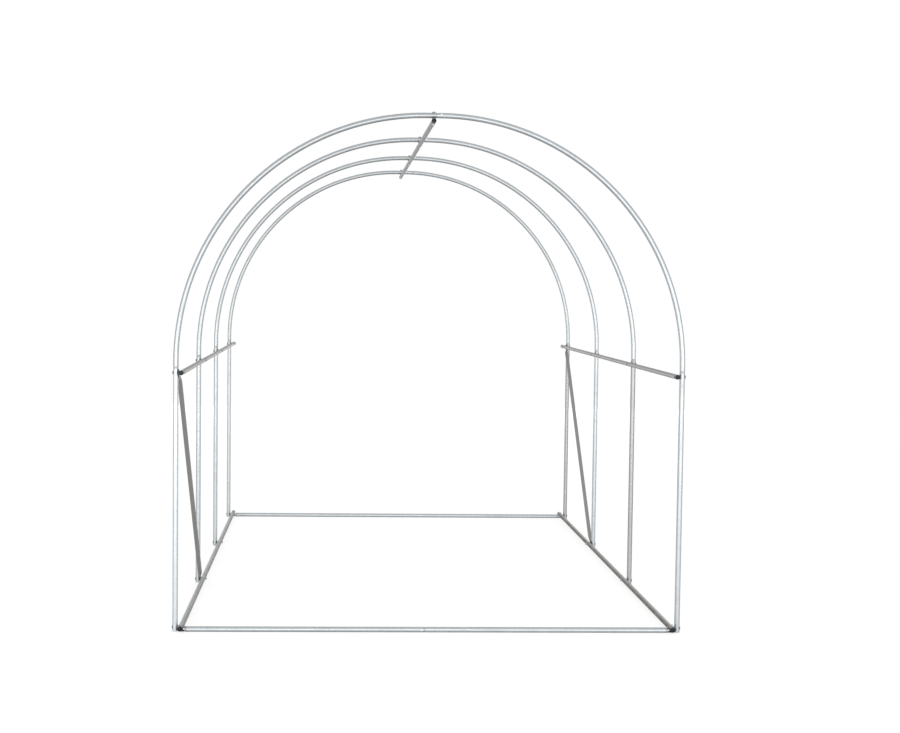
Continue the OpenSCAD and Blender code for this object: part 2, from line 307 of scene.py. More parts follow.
def runTree(tree, values, start=None):
    # runs a node tree once on a holder object and keeps the mesh that comes out
    holder = newObject("holder", start or bpy.data.meshes.new("holder"))
    modifier = holder.modifiers.new("shape", "NODES")
    modifier.node_group = tree
    keys = {item.name: item.identifier for item in tree.interface.items_tree if item.in_out == "INPUT"}
    for label, value in values.items():
        modifier[keys[label]] = value
    mesh = evaluatedMesh(holder)
    holder.modifiers.remove(modifier)
    bpy.data.objects.remove(holder)
    finish = [material for material in mesh.materials if material][0]
    mesh.materials.clear()  # drops the empty slot that comes with Set Material
    mesh.materials.append(finish)
    mesh.polygons.foreach_set("material_index", [0] * len(mesh.polygons))
    return tidyMesh(mesh)


def joinMeshes(meshes):
    work = bmesh.new()
    for mesh in meshes:
        work.from_mesh(mesh)
    joined = bpy.data.meshes.new("joined")
    work.to_mesh(joined)
    work.free()
    joined.materials.append(meshes[0].materials[0])
    joined.set_sharp_from_angle(angle=math.radians(sharpEdge["tube"]))
    return joined


def skinRows(work, rows):
    # faces between each row of points and the next, all the way round
    for low, high in zip(rows, rows[1:]):
        for k in range(len(low)):
            m = (k + 1) % len(low)
            work.faces.new((low[k], low[m], high[m], high[k]))


def latheShape(outline, facets):
    # turns (radius, height) points about +Z into a closed shape, poles included
    mesh = bpy.data.meshes.new("turned")
    work = bmesh.new()
    turns = [k * math.tau / facets for k in range(facets)]
    rings = []
    for radius, height in outline:
        rings.append([work.verts.new((radius * math.cos(a), radius * math.sin(a), height)) for a in turns])
    skinRows(work, rings)
    work.to_mesh(mesh)
    work.free()
    return tidyMesh(mesh, "turned")


# each noise below is its scale, its detail and, where it isn't a half, its roughness
zincPattern = {"patchStretch": 0.6, "streakStretch": 0.02, "streakNoise": (1.0, 3.0, 0.6),
               "grainNoise": (900.0, 2.0), "streakHeight": 0.8, "grainHeight": 0.2}


def groupZincGrain(t):
    # crystal patches, fine grain and long drawn streaks of a zinc coat, in the tube's own coordinates
    tree, g = newTree("zincGrain", [
        ("Vector", "Vector", None), ("Patch size", "Float", 0.012), ("Streak size", "Float", 0.004)],
        ["Patches", "Streaks", "Grain", "Height"])
    x, y, z = parts(tree, g["Vector"])

    def shrunk(stretch, size):
        return put(tree, "ShaderNodeVectorMath", {
            0: xyz(tree, x, y, z * stretch), "Scale": size.calc("POWER", -1.0)}, operation="SCALE")

    around = shrunk(t["patchStretch"], g["Patch size"])
    cells = put(tree, "ShaderNodeTexVoronoi", {
        "Vector": around, "Scale": 1.0, "Randomness": 1.0}, out="Color")
    drawn = shrunk(t["streakStretch"], g["Streak size"])
    streak, fine = noise(tree, drawn, *t["streakNoise"]), noise(tree, g["Vector"], *t["grainNoise"])
    height = streak * t["streakHeight"] + fine * t["grainHeight"]
    return endTree(tree, {
        "Patches": parts(tree, cells)[0], "Streaks": streak, "Grain": fine, "Height": height})


seamPattern = {"wanderNoise": (9.0, 2.0), "wander": 0.15, "core": 0.4}


def groupSeamLine(t):
    # the straight weld bead along a tube, as a soft mask round one angle
    tree, g = newTree("seamLine", [
        ("Vector", "Vector", None), ("Angle", "Float", 0.0), ("Width", "Float", 0.12)], ["Mask"])
    x, y, z = parts(tree, g["Vector"])
    wander = noise(tree, xyz(tree, 0.0, 0.0, z), *t["wanderNoise"])
    angle = y.calc("ARCTAN2", x) - g["Angle"] + (wander - 0.5) * t["wander"]
    away = angle.calc("WRAP", math.pi, -math.pi).calc("ABSOLUTE") / g["Width"]
    return endTree(tree, {"Mask": ramp(tree, away, t["core"], 1.0, 1.0, 0.0, soft=True)})


wearAndPressShadePattern = {
    "slantX": 0.35, "slantY": 0.2, "across": 90.0, "along": 8.0, "lineNoise": (3.0, 4.0, 0.7),
    "lines": (0.60, 0.68), "whereNoise": (14.0, 2.0), "where": (0.48, 0.62),
    "cloudNoise": (5.0, 5.0, 0.65), "cloud": (0.42, 0.72),
    "cutRagged": 0.004, "cutLength": 0.005, "shadeRagged": 0.02, "shadeCore": 0.6}


def groupWearAndPressShade(t):
    # handling marks, dull bloom, the dark edge near a cut end and painted shade beside a pressed one
    tree, g = newTree("wearAndPressShade", [
        ("Vector", "Vector", None), ("End gap", "Float", 1.0), ("Scale", "Float", 1.0),
        ("Press gap", "Float", 1.0), ("Press length", "Float", 0.045)],
        ["Scratches", "Bloom", "Cut end", "Pressed end shade"])
    x, y, z = parts(tree, g["Vector"])
    wide = t["across"]
    slanted = xyz(tree, (x + z * t["slantX"]) * wide, (y - z * t["slantY"]) * wide, z * t["along"])

    def scaledNoise(scale, *rest):
        return noise(tree, g["Vector"], g["Scale"] * scale, *rest)

    lines, where = noise(tree, slanted, *t["lineNoise"]), scaledNoise(*t["whereNoise"])
    scratches = ramp(tree, lines, *t["lines"]) * ramp(tree, where, *t["where"])
    cloud = scaledNoise(*t["cloudNoise"])
    bloom = ramp(tree, cloud, *t["cloud"], soft=True)
    ragged = g["End gap"] + (where - 0.5) * t["cutRagged"]
    cutEnd = ramp(tree, ragged, 0.0, t["cutLength"], 1.0, 0.0, soft=True)
    # painted shade beside a pressed end, where the flattened tube meets the next part
    smeared = g["Press gap"] + (cloud - 0.5) * t["shadeRagged"]
    reach = g["Press length"]
    endShade = ramp(tree, smeared, reach * t["shadeCore"], reach, 1.0, 0.0, soft=True)
    return endTree(tree, {"Scratches": scratches, "Bloom": bloom, "Cut end": cutEnd, "Pressed end shade": endShade})


dustPattern = {"upward": (0.25, 0.95), "speckNoise": (60.0, 6.0, 0.7), "speck": (0.35, 0.7)}


def groupDust(t):
    # dust that settles on faces that look up
    tree, g = newTree("settledDust", [("Vector", "Vector", None), ("Amount", "Float", 0.3)], ["Mask"])
    normal = parts(tree, put(tree, "ShaderNodeNewGeometry", out="Normal"))
    upward = ramp(tree, normal[2], *t["upward"], soft=True)
    speck = ramp(tree, noise(tree, g["Vector"], *t["speckNoise"]), *t["speck"])
    return endTree(tree, {"Mask": upward * speck * g["Amount"]})


# painted shade: how far it reaches round the undersides and inner flanks, and how unevenly
undersideShadePattern = {"under": (0.1, 0.85), "inner": (0.1, 0.9), "unevenNoise": (22.0, 4.0, 0.6),
               "uneven": (0.3, 0.6), "faintest": 0.7}


def groupUndersideShade(t):
    # painted shade on undersides and on the flanks that face the middle of the tunnel, given as a mask
    tree, g = newTree("paintedUndersideShade", [
        ("Vector", "Vector", None), ("Under", "Float", 0.3), ("Inner", "Float", 0.0)], ["Mask"])
    normal = parts(tree, put(tree, "ShaderNodeNewGeometry", out="Normal"))
    side = parts(tree, g["Vector"])[0].calc("SIGN")
    under = ramp(tree, -normal[2], *t["under"], soft=True)
    inner = ramp(tree, normal[0] * side * -1.0, *t["inner"], soft=True)
    uneven = ramp(tree, noise(tree, g["Vector"], *t["unevenNoise"]), *t["uneven"], t["faintest"], 1.0)
    return endTree(tree, {"Mask": (under * g["Under"]).most(inner * g["Inner"]) * uneven})


zincGrain, seamLine = groupZincGrain(zincPattern), groupSeamLine(seamPattern)
wearAndPressShade, settledDust, paintedUndersideShade = groupWearAndPressShade(wearAndPressShadePattern), groupDust(dustPattern), groupUndersideShade(undersideShadePattern)


def mixColor(tree, share, first, second):
    first, second = [(*c, 1.0) if isinstance(c, tuple) else c for c in (first, second)]
    return put(tree, "ShaderNodeMix", {0: share, 6: first, 7: second}, out=2, data_type="RGBA")


def groupOutputs(tree, group, inputs):
    node = put(tree, "ShaderNodeGroup", inputs, node_tree=group).socket.node
    return {socket.name: Wire(tree, socket) for socket in node.outputs}


def newMaterial(name):
    material = bpy.data.materials.new(name)
    material.use_nodes = True
    tree = material.node_tree
    tree.nodes.clear()
    shader = tree.nodes.new("ShaderNodeBsdfPrincipled")
    leave = tree.nodes.new("ShaderNodeOutputMaterial")
    tree.links.new(shader.outputs[0], leave.inputs["Surface"])
    return material, tree, shader


def mixLayers(tree, color, look, layers):
    # lays the colour of each layer over the ones before, as strongly as the look says
    for name, mask in layers.items():
        strength = mask * look[name] if name in look else mask
        color = mixColor(tree, strength, color, look[name + "Color"])
    return color


def addBump(tree, shader, height, strength, distance):
    bump = put(tree, "ShaderNodeBump", {"Height": height, "Strength": strength, "Distance": distance})
    feed(tree, shader.inputs["Normal"], bump)


def zincOf(tree, spot, look):
    return groupOutputs(tree, zincGrain, {
        "Vector": spot, "Patch size": look["patchSize"], "Streak size": look["streakSize"]})


def steelMaterial(name, look):
    material, tree, shader = newMaterial(name)
    spot = put(tree, "ShaderNodeAttribute", attribute_name="tubeMap", out="Vector")
    endGap = put(tree, "ShaderNodeAttribute", attribute_name="endGap", out="Fac")
    pressGap = put(tree, "ShaderNodeAttribute", attribute_name="pressGap", out="Fac")
    zinc = zincOf(tree, spot, look)
    seam = groupOutputs(tree, seamLine, {
        "Vector": spot, "Angle": look["seamAngle"], "Width": look["seamWidth"]})
    wear = groupOutputs(tree, wearAndPressShade, {
        "Vector": spot, "End gap": endGap, "Scale": look["wearScale"], "Press gap": pressGap,
        "Press length": look["pressLength"]})
    dust = groupOutputs(tree, settledDust, {"Vector": spot, "Amount": look["dustAmount"]})
    # painted shade on undersides and inner flanks, which darkens the colour and raises the roughness
    undersideShade = groupOutputs(tree, paintedUndersideShade, {
        "Vector": put(tree, "ShaderNodeTexCoord", out="Object"), "Under": look["under"],
        "Inner": look["inner"]})
    share = look["streakShare"]
    streaks = zinc["Streaks"].calc("MULTIPLY_ADD", share * 2, -share * look["streakStart"], clamp=True)
    color = mixColor(tree, zinc["Patches"], look["color"], look["patchColor"])
    color = mixLayers(tree, color, look, {
        "streak": streaks, "bloom": wear["Bloom"], "seam": seam["Mask"], "scratch": wear["Scratches"],
        "pressShade": wear["Pressed end shade"], "cut": wear["Cut end"], "undersideShade": undersideShade["Mask"], "dust": dust["Mask"]})
    rough = zinc["Patches"] * look["roughSpread"] + undersideShade["Mask"] * look["undersideShadeRough"] + look["rough"]
    rough = rough + wear["Bloom"] * look["bloomRough"] + seam["Mask"] * look["seamRough"]
    rough = rough + dust["Mask"] * look["dustRough"] - wear["Scratches"] * look["scratchPolish"]
    feedAll(tree, shader, {
        "Base Color": color, "Roughness": rough.most(look["smoothest"]).least(look["roughest"]),
        "Metallic": (dust["Mask"] * -1.0 + 1.0) * look["metal"],
        "Specular Tint": (look["edgeTint"],) * 3 + (1.0,)})
    height = zinc["Height"] + seam["Mask"] * look["seamHeight"] - wear["Scratches"] * look["scratchDepth"]
    addBump(tree, shader, height, look["bump"], look["bumpHeight"])
    return material


hoopSteel = {
    "color": (0.441, 0.466, 0.485), "patchColor": (0.491, 0.516, 0.535), "patchSize": 0.009,
    "streakColor": (0.401, 0.425, 0.443), "streakShare": 0.45, "streakStart": 0.6, "streakSize": 0.003,
    "bloomColor": (0.40, 0.415, 0.42), "bloom": 0.5, "bloomRough": 0.06,
    "seamColor": (0.32, 0.335, 0.34), "seam": 0.5, "seamAngle": math.pi, "seamWidth": 0.13,
    "seamRough": 0.08, "seamHeight": 0.8,
    "scratchColor": (0.60, 0.615, 0.625), "scratch": 0.45, "scratchPolish": 0.06, "scratchDepth": 0.5,
    # the colour and strength of painted shade beside the pressed ends
    "pressShadeColor": (0.15, 0.152, 0.152), "pressShade": 0.0, "pressLength": 0.045,
    "cutColor": (0.24, 0.235, 0.23), "cut": 0.6,
    # the colour, strength and roughness of the painted shade on the undersides
    "undersideShadeColor": (0.21, 0.215, 0.215), "under": 0.75, "inner": 0.0, "undersideShadeRough": 0.25,
    "dustColor": (0.42, 0.41, 0.40), "dustAmount": 0.15, "dustRough": 0.4,
    "rough": 0.35, "roughSpread": 0.05, "smoothest": 0.12, "roughest": 0.9, "wearScale": 1.0,
    "metal": 0.97, "edgeTint": 0.3, "bump": 0.06, "bumpHeight": 0.0002}
# a lighter copy of the hoop steel, as painted light, for the listed lit legs
litHoopSteel = dict(
    hoopSteel, color=(0.532, 0.565, 0.59), patchColor=(0.582, 0.615, 0.64),
    streakColor=(0.492, 0.525, 0.55), bloomColor=(0.50, 0.52, 0.53), seamColor=(0.40, 0.42, 0.43),
    scratchColor=(0.68, 0.695, 0.705))
# a darker copy of the hoop steel with no edge tint, as painted shade, for the listed shaded legs
shadedHoopSteel = dict(
    hoopSteel, color=(0.352, 0.357, 0.356), patchColor=(0.387, 0.392, 0.391),
    streakColor=(0.317, 0.322, 0.321), bloomColor=(0.33, 0.333, 0.33), seamColor=(0.25, 0.252, 0.25),
    scratchColor=(0.45, 0.45, 0.445), edgeTint=0.0)
# a darker copy of the hoop steel for the left arches, with stronger painted shade on the undersides
leftArchSteel = dict(
    hoopSteel, color=(0.412, 0.435, 0.450), patchColor=(0.462, 0.485, 0.500),
    streakColor=(0.370, 0.392, 0.407), under=0.85)
# a slightly lighter copy for the cross rails, with painted shade beside their pressed ends
crossRailSteel = dict(
    hoopSteel, color=(0.457, 0.486, 0.503), patchColor=(0.507, 0.536, 0.553),
    streakColor=(0.417, 0.445, 0.461), pressShade=0.65)
# a darker, rougher copy for the purlins: duller zinc, with the darker colour as painted shade
dullShadedRailSteel = dict(
    hoopSteel, color=(0.35, 0.351, 0.347), patchColor=(0.385, 0.386, 0.382),
    streakColor=(0.325, 0.325, 0.321), bloomColor=(0.41, 0.408, 0.40), bloom=0.4,
    seamColor=(0.27, 0.27, 0.267), seamAngle=math.pi * 0.5, rough=0.42, scratchColor=(0.42, 0.42, 0.41),
    cutColor=(0.20, 0.19, 0.18), dustColor=(0.38, 0.375, 0.36), dustAmount=0.2, undersideShadeColor=(0.20, 0.20, 0.197),
    under=0.4, edgeTint=0.6)
# warm grey base rails, dusty and worn, with strong painted shade on the inner flanks and undersides
baseSteel = dict(
    dullShadedRailSteel, color=(0.50, 0.494, 0.478), patchColor=(0.52, 0.514, 0.496), streakColor=(0.46, 0.454, 0.438),
    bloomColor=(0.50, 0.487, 0.46), undersideShadeColor=(0.15, 0.145, 0.136), under=0.7, inner=0.95,
    dustColor=(0.42, 0.40, 0.36), dustAmount=0.3, wearScale=1.6)
# a neutral grey copy for the left rail, with weaker painted shade on its inner flank
neutralLessShadedBaseSteel = dict(
    baseSteel, color=(0.49, 0.495, 0.497), patchColor=(0.505, 0.51, 0.512), streakColor=(0.455, 0.46, 0.46),
    bloomColor=(0.49, 0.492, 0.49), dustColor=(0.42, 0.418, 0.41), undersideShadeColor=(0.16, 0.16, 0.157), inner=0.7)
# darker still for the braces, as painted shade, with painted shade beside the pressed ends too
dullShadedBraceSteel = dict(
    dullShadedRailSteel, color=(0.285, 0.285, 0.281), patchColor=(0.297, 0.297, 0.293),
    streakColor=(0.265, 0.265, 0.262), pressShade=0.35, bloomColor=(0.315, 0.315, 0.31),
    undersideShadeColor=(0.19, 0.19, 0.187))
hoopFinish = steelMaterial("galvanisedHoop", hoopSteel)
litHoopFinish = steelMaterial("galvanisedHoopPaintedLight", litHoopSteel)
shadedHoopFinish = steelMaterial("galvanisedHoopPaintedShade", shadedHoopSteel)
leftArchFinish = steelMaterial("galvanisedLeftArch", leftArchSteel)
crossRailFinish = steelMaterial("galvanisedCrossRail", crossRailSteel)
railFinish = steelMaterial("dullShadedGalvanisedRail", dullShadedRailSteel)
baseFinish = {"left": steelMaterial("weatheredBaseRailLeftPaintedShade", neutralLessShadedBaseSteel),
              "right": steelMaterial("weatheredBaseRailRightPaintedShade", baseSteel)}
braceFinish = steelMaterial("dullShadedGalvanisedBrace", dullShadedBraceSteel)


def startSmallPart(name, look):
    # a new material with the wear and dust of a small part
    material, tree, shader = newMaterial(name)
    spot = put(tree, "ShaderNodeTexCoord", out="Object")
    wear = groupOutputs(tree, wearAndPressShade, {"Vector": spot, "Scale": look["wearScale"]})
    dust = groupOutputs(tree, settledDust, {"Vector": spot, "Amount": look["dustAmount"]})
    return material, tree, shader, spot, wear, dust["Mask"]


def zincFastenerMaterial(name, look):
    material, tree, shader, spot, wear, dust = startSmallPart(name, look)
    zinc = zincOf(tree, spot, look)
    color = mixColor(tree, zinc["Patches"], look["color"], look["patchColor"])
    color = mixLayers(tree, color, look, {"bloom": wear["Bloom"], "scratch": wear["Scratches"], "dust": dust})
    rough = zinc["Grain"] * look["grainRough"] + wear["Bloom"] * look["bloomRough"] + look["rough"]
    feedAll(tree, shader, {
        "Base Color": color, "Roughness": rough, "Metallic": (dust * -1.0 + 1.0) * look["metal"]})
    addBump(tree, shader, zinc["Grain"], look["bump"], look["bumpHeight"])
    return material


boltZinc = {
    "color": (0.42, 0.425, 0.43), "patchColor": (0.46, 0.465, 0.465), "patchSize": 0.003, "streakSize": 0.001,
    "bloomColor": (0.45, 0.45, 0.445), "bloom": 0.5, "bloomRough": 0.15, "scratchColor": (0.5, 0.5, 0.5),
    "scratch": 0.5, "dustColor": (0.30, 0.29, 0.27), "dustAmount": 0.25, "wearScale": 6.0, "rough": 0.24,
    "grainRough": 0.15, "metal": 0.97, "bump": 0.2, "bumpHeight": 0.0001}
# near-white zinc for the snap buttons: bright plating, lifted further as a painted highlight
buttonZincAndGlint = dict(
    boltZinc, color=(0.80, 0.81, 0.82), patchColor=(0.86, 0.87, 0.87), bloomColor=(0.78, 0.78, 0.775),
    scratchColor=(0.9, 0.9, 0.9), dustAmount=0.1, rough=0.18)
boltFinish = zincFastenerMaterial("zincPlatedBolt", boltZinc)
buttonFinish = zincFastenerMaterial("brightSnapButtonPaintedGlint", buttonZincAndGlint)


def capMaterial(name, look):
    material, tree, shader, spot, wear, dust = startSmallPart(name, look)
    fine, cloud = noise(tree, spot, *look["grainNoise"]), noise(tree, spot, *look["cloudNoise"])
    color = mixColor(tree, cloud, look["color"], look["cloudColor"])
    color = mixLayers(tree, color, look, {"scratch": wear["Scratches"], "dust": dust})
    rough = fine * look["grainRough"] + wear["Scratches"] * look["scratchRough"] + look["rough"]
    feedAll(tree, shader, {"Base Color": color, "Roughness": rough, "Specular IOR Level": look["shine"]})
    height = fine * look["grainHeight"] + cloud * look["cloudHeight"]
    addBump(tree, shader, height, look["bump"], look["bumpHeight"])
    return material


blackPlastic = {
    "color": (0.011, 0.016, 0.023), "cloudColor": (0.019, 0.026, 0.035), "cloudNoise": (120.0, 4.0),
    "cloudHeight": 0.4, "grainNoise": (1400.0, 2.0), "grainHeight": 0.6,
    "grainRough": 0.12, "scratchColor": (0.06, 0.065, 0.07), "scratch": 0.6, "scratchRough": 0.2,
    "dustColor": (0.20, 0.19, 0.17), "dustAmount": 0.15, "wearScale": 5.0, "rough": 0.26, "shine": 0.2,
    "bump": 0.3, "bumpHeight": 0.00012}
capFinish = capMaterial("blackPlasticCap", blackPlastic)
print("materials built")


places = 5  # decimals kept of a place read from the frame, to the hundredth of a millimetre


def middle(node, axis):
    low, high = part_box(node)
    return round((low[axis] + high[axis]) / 2, places)


def lowEnd(node, axis):
    return round(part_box(node)[0][axis], places)


def highEnd(node, axis):
    return round(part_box(node)[1][axis], places)


hoopY = [middle(f"left_leg_{i}", 1) for i in (1, 2, 3, 4)]
sides = {"left": -1, "right": 1}
tubeWall, tubeCone, tubeFacets = 0.001, 0.008, 40

# a shift moves a tube along its pattern, so that no two tubes look alike
hoopTube = {
    "diameter": 0.021, "legX": middle("right_leg_1", 0), "legHeight": highEnd("left_leg_1", 2),
    "lowerTail": 0.025, "upperTail": 0.0275, "crownSeam": 0.012, "crownSpigot": 0.032, "legSpigot": 0.040,
    "archRings": 96, "legRings": 6, "legShift": 5.3, "archShift": 3.7,
    "litLegs": [("left", 1)], "shadedLegs": [("right", 2), ("right", 4)]}
hoopTube["bendRadius"] = hoopTube["legX"] - hoopTube["upperTail"]
hoopTube["springHeight"] = hoopTube["legHeight"] + hoopTube["lowerTail"]
hoopTube["crownHeight"] = hoopTube["springHeight"] + hoopTube["bendRadius"]


def makeHoops(t):
    quarter = t["bendRadius"] * math.pi / 2
    shared = {"Diameter": t["diameter"], "Wall": tubeWall, "Facets": tubeFacets}
    for i, y in enumerate(hoopY, 1):
        for side, sign in sides.items():
            # the lit legs take painted light and the shaded legs painted shade
            legFinish = litHoopFinish if (side, i) in t["litLegs"] else hoopFinish
            legFinish = shadedHoopFinish if (side, i) in t["shadedLegs"] else legFinish
            leg = runTree(straightTube, {
                **shared, "Steel": legFinish, "Length": t["legHeight"], "Rings": t["legRings"],
                "Start": (sign * t["legX"], y, 0.0), "Pattern start": t["legShift"] * i + sign})
            addPiece(f"{side}_leg_{i}_tube", leg, [f"{side}_leg_{i}"])
            tail = t["upperTail"] - sign * t["crownSeam"]
            arch = runTree(archTube, {
                **shared, "Steel": leftArchFinish if side == "left" else hoopFinish,
                "Length": t["lowerTail"] + quarter + tail, "Start spigot": t["legSpigot"],
                "End spigot": t["crownSpigot"] if sign > 0 else 0.0, "Cone": tubeCone,
                "Rings": t["archRings"], "Side": float(sign), "Hoop Y": y, "Bend radius": t["bendRadius"],
                "Lower tail": t["lowerTail"], "Upper tail": t["upperTail"],
                "Spring height": t["springHeight"], "Pattern start": t["archShift"] * i - 2 * sign})
            addPiece(f"{side}_arch_{i}_tube", arch, [f"{side}_arch_{i}"])


makeHoops(hoopTube)
print("hoops made at", hoopY)

# purlins and base rails; a seam lies a little behind the second and the third hoop
purlin = {
    "diameter": 0.019, "spigot": 0.070, "rings": 8, "ridgeShift": 1.0, "shift": 12.0,
    "x": middle("right_purlin_front", 0),
    "z": middle("right_purlin_front", 2), "ridgeZ": middle("ridge_purlin_front", 2),
    "front": lowEnd("right_purlin_front", 1), "back": highEnd("right_purlin_back", 1)}
baseRail = {
    "diameter": 0.021, "spigot": 0.070, "rings": 8, "shift": 30.0,
    "x": middle("right_base_rail_front", 0),
    "z": middle("right_base_rail_front", 2), "front": lowEnd("right_base_rail_front", 1),
    "back": highEnd("right_base_rail_back", 1)}
seamBehindHoop = 0.050
seamY = [y + seamBehindHoop for y in hoopY[1:3]]
railShift = 2.1  # from one length's pattern to the next


def makeRail(stem, t, x, z, finish, patternStart):
    stops = [t["front"], *seamY, t["back"]]
    for k, part in enumerate(("front", "middle", "back")):
        mesh = runTree(straightTube, {
            "Diameter": t["diameter"], "Wall": tubeWall, "Length": stops[k + 1] - stops[k],
            "Cone": tubeCone, "Start spigot": t["spigot"] if k else 0.0, "Facets": tubeFacets,
            "Rings": t["rings"], "Start": (x, stops[k], z), "Turn": (-math.pi / 2, 0.0, 0.0),
            "Pattern start": patternStart + railShift * k, "Steel": finish})
        addPiece(f"{stem}_{part}_tube", mesh, [f"{stem}_{part}"])


makeRail("ridge_purlin", purlin, 0.0, purlin["ridgeZ"], railFinish, purlin["ridgeShift"])
for side, sign in sides.items():
    for stem, t, finish in (("purlin", purlin, railFinish), ("base_rail", baseRail, baseFinish[side])):
        makeRail(f"{side}_{stem}", t, sign * t["x"], t["z"], finish, t["shift"] + sign)
print("purlins and base rails made")

# the pressed flat ends of the cross rails and braces
pressedEnd = {
    "width": 0.028, "thick": 0.002, "groove": 0.0006, "flatPower": 5.0, "tipSteps": 9, "crimpSteps": 14,
    "points": 48}


def smooth(share):
    return share * share * (3 - 2 * share)


def quarterTurn(steps):
    # the angles from the first step to a right angle
    return [k / steps * math.pi / 2 for k in range(1, steps + 1)]


def ring(halfThick, halfWidth, power, shift, height, groove=0.0):
    # a squashed circle, thin along x, with a parting groove at both edges
    points = []
    for k in range(pressedEnd["points"]):
        a = k * math.tau / pressedEnd["points"]
        c, s = math.cos(a), math.sin(a)
        x = math.copysign(abs(c) ** (2 / power), c) * halfThick
        y = math.copysign(abs(s) ** (2 / power), s) * halfWidth
        if abs(c) < 0.001:  # the middle of either edge
            y = math.copysign(max(0.0, halfWidth - groove), s)
        points.append((x + shift, y, height))
    return points


def flatEndRings(diameter, flat, crimp, drop=0.0):
    # from the rounded tip, past the bolt at height 0, up to the round tube
    e = pressedEnd
    r, halfThick, halfWide, power = diameter / 2, e["thick"] / 2, e["width"] / 2, e["flatPower"]
    rings = [ring(0.0, 0.0, 2.0, 0.0, -halfWide)]
    for a in quarterTurn(e["tipSteps"]):
        wide, groove = halfWide * math.sin(a), e["groove"] * math.sin(a)
        rings.append(ring(halfThick, wide, power, 0.0, -halfWide * math.cos(a), groove))
    rings.append(ring(halfThick, halfWide, power, 0.0, flat, e["groove"]))
    for k in range(1, e["crimpSteps"] + 1):
        share = smooth(k / e["crimpSteps"])
        thick, wide = halfThick + (r - halfThick) * share, halfWide + (r - halfWide) * share
        height = flat + crimp * k / e["crimpSteps"]
        rings.append(ring(thick, wide, power + (2 - power) * share ** 0.5, drop * share, height,
                          e["groove"] * (1 - share)))
    return rings


def roundRings(radius, shift, heights):
    return [ring(radius, radius, 2.0, shift, h) for h in heights]


def loftMesh(rings, matrix, finish, patternStart, endHeights, pressedEnds, centreX=0.0):
    mesh = bpy.data.meshes.new("lofted")
    work = bmesh.new()
    tubeMap = work.verts.layers.float_vector.new("tubeMap")
    endGap = work.verts.layers.float.new("endGap")
    pressGap = work.verts.layers.float.new("pressGap")
    made = []
    for points in rings:
        row = []
        for p in points:
            vert = work.verts.new(p)
            vert[tubeMap] = Vector((p[0] - centreX, p[1], p[2] + patternStart))
            vert[endGap] = min(abs(p[2] - h) for h in endHeights)
            vert[pressGap] = min(abs(p[2] - h) for h in endHeights[:pressedEnds])
            row.append(vert)
        made.append(row)
    skinRows(work, made)
    for row in (made[0], made[-1]):
        work.faces.new(row)
    bmesh.ops.transform(work, matrix=matrix, verts=work.verts)
    bmesh.ops.dissolve_degenerate(work, dist=weldGap / 2, edges=work.edges)
    work.to_mesh(mesh)
    work.free()
    mesh.materials.append(finish)
    return tidyMesh(mesh, "pressed")


def along(start, stop, steps):
    # the heights between start and stop, both left out
    return [start + (stop - start) * k / steps for k in range(1, steps)]


crossRail = {
    "diameter": 0.021, "z": middle("front_cross_rail_left", 2), "tabZ": 0.0043, "holeX": baseRail["x"],
    "flat": 0.0125, "crimp": 0.008, "seamX": -0.012, "spigot": 0.060, "bore": 0.120, "rim": 0.0003,
    "coneSteps": 6, "spans": 8, "shift": 40.0, "shiftByY": 3.0,
    "y": {end: round(middle(f"{end}_cross_rail_left", 1), 4) for end in ("front", "back")}}


def makeCrossRails(t):
    r, rim = t["diameter"] / 2, t["rim"]
    inner = r - tubeWall
    thin = inner - spigotFit
    drop = t["z"] - t["tabZ"]
    flatEnd = flatEndRings(t["diameter"], t["flat"], t["crimp"], drop)
    for end, y in t["y"].items():
        for side, sign in sides.items():
            # height runs inwards from the bolt, and the pressed side lies down
            matrix = Matrix((
                (0, 0, -sign, sign * t["holeX"]), (0, sign, 0, y), (1, 0, 0, t["tabZ"]), (0, 0, 0, 1)))
            seam = t["holeX"] - sign * t["seamX"]
            rings = flatEnd + roundRings(r, drop, along(t["flat"] + t["crimp"], seam, t["spans"]))
            if sign < 0:
                tip = seam
                rings += roundRings(r, drop, [seam - rim]) + roundRings(r - rim, drop, [seam])
                rings += roundRings(inner, drop, [seam, seam - t["bore"]])
            else:
                tip = seam + t["spigot"]
                for k in range(t["coneSteps"] + 1):
                    share = k / t["coneSteps"]
                    radius = r + (thin - r) * smooth(share)
                    rings += roundRings(radius, drop, [seam - tubeCone + tubeCone * share])
                rings += roundRings(thin, drop, [tip - rim]) + roundRings(thin - rim, drop, [tip])
                rings += roundRings(thin - tubeWall, drop, [tip, tip - t["bore"]])
            mesh = loftMesh(rings, matrix, crossRailFinish, t["shift"] + t["shiftByY"] * y + sign,
                            endHeights=[-pressedEnd["width"] / 2, tip], pressedEnds=1, centreX=drop)
            addPiece(f"{end}_cross_rail_{side}_tube", mesh, [f"{end}_cross_rail_{side}"])


makeCrossRails(crossRail)

brace = {
    "diameter": 0.019, "x": middle("right_brace", 0), "flat": 0.018, "crimp": 0.032, "spans": 10,
    "shift": 60.0, "fromTo": {"left": (0, 1), "right": (3, 2)}}  # the hoops at its top and its foot


